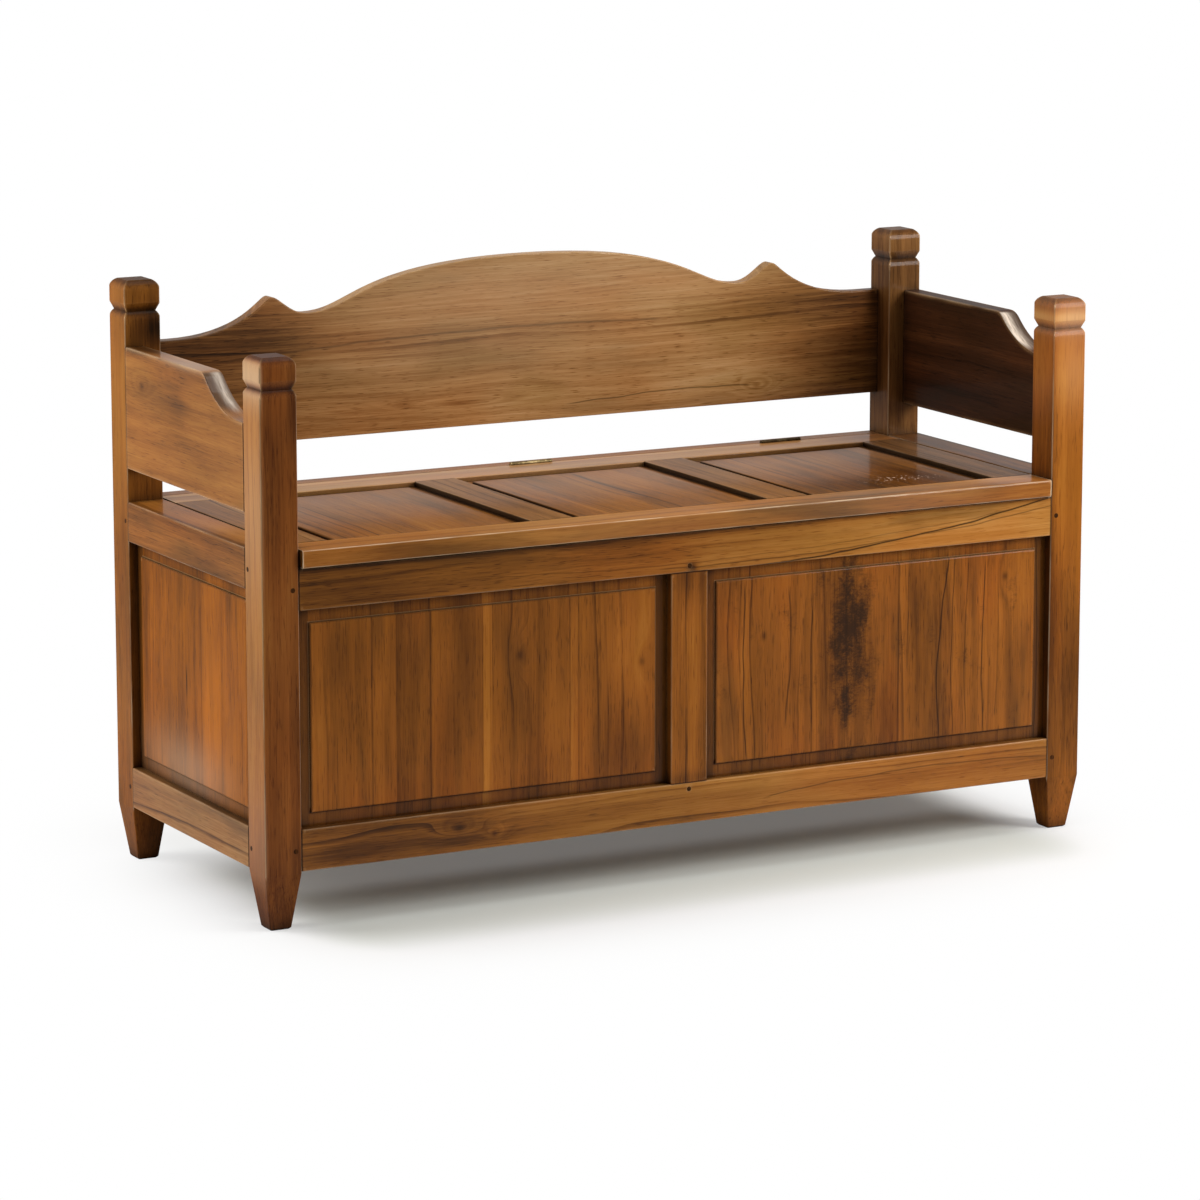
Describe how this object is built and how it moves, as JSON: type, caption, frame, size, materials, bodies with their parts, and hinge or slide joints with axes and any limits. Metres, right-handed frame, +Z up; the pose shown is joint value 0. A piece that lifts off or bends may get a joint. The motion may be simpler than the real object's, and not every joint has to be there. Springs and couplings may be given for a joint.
{
  "type": "settle bench",
  "caption": "Hall settle bench with a panelled storage chest under a hinged panelled seat lid, ogee-cut arm boards, a serpentine back board and square finial posts.",
  "frame": {"origin": "on the floor, under the middle of the whole outline", "axes": "+Z up, the front faces -Y, +X to the right seen from the front"},
  "size_m": [1.15, 0.453, 0.735],
  "materials": {
    "frame_wood": "satin varnish",
    "panel_wood": "satin varnish",
    "board_wood": "satin varnish",
    "inner_wood": "unfinished",
    "peg_wood": "satin varnish",
    "hinge_brass": "aged",
    "screw_brass": "aged",
    "screw_steel": "zinc plated"
  },
  "bodies": {
    "chest": {"back_board": "board_wood", "back_bottom_rail": "frame_wood", "back_floor_cleat": "inner_wood", "back_left_panel": "panel_wood", "back_lid_cleat": "inner_wood", "back_muntin": "frame_wood", "back_pegs": "peg_wood", "back_right_panel": "panel_wood", "back_top_rail": "frame_wood", "cleat_screws": "screw_steel", "floor_board_1": "inner_wood", "floor_board_2": "inner_wood", "floor_board_3": "inner_wood", "floor_board_4": "inner_wood", "floor_board_5": "inner_wood", "floor_board_6": "inner_wood", "front_bottom_rail": "frame_wood", "front_floor_cleat": "inner_wood", "front_left_panel": "panel_wood", "front_muntin": "frame_wood", "front_pegs": "peg_wood", "front_right_panel": "panel_wood", "front_top_rail": "frame_wood", "hinge_1_pin": "hinge_brass", "hinge_1_rail_leaf": "hinge_brass", "hinge_2_pin": "hinge_brass", "hinge_2_rail_leaf": "hinge_brass", "hinge_3_pin": "hinge_brass", "hinge_3_rail_leaf": "hinge_brass", "left_arm_board": "board_wood", "left_back_post": "frame_wood", "left_bottom_rail": "frame_wood", "left_front_post": "frame_wood", "left_lid_cleat": "inner_wood", "left_pegs": "peg_wood", "left_side_panel": "panel_wood", "left_top_rail": "frame_wood", "rail_hinge_screws": "screw_brass", "right_arm_board": "board_wood", "right_back_post": "frame_wood", "right_bottom_rail": "frame_wood", "right_front_post": "frame_wood", "right_lid_cleat": "inner_wood", "right_pegs": "peg_wood", "right_side_panel": "panel_wood", "right_top_rail": "frame_wood"},
    "lid": {"hinge_1_lid_leaf": "hinge_brass", "hinge_2_lid_leaf": "hinge_brass", "hinge_3_lid_leaf": "hinge_brass", "lid_back_rail": "frame_wood", "lid_front_rail": "frame_wood", "lid_hinge_screws": "screw_brass", "lid_left_stile": "frame_wood", "lid_muntin_1": "frame_wood", "lid_muntin_2": "frame_wood", "lid_panel_1": "panel_wood", "lid_panel_2": "panel_wood", "lid_panel_3": "panel_wood", "lid_right_stile": "frame_wood"}
  },
  "joints": [
    {"name": "lid_hinge", "type": "hinge", "parent": "chest", "child": "lid", "pos_m": [0, 0.20175, 0.461], "axis": [-1, 0, 0], "range_deg": [0, 91]}
  ]
}
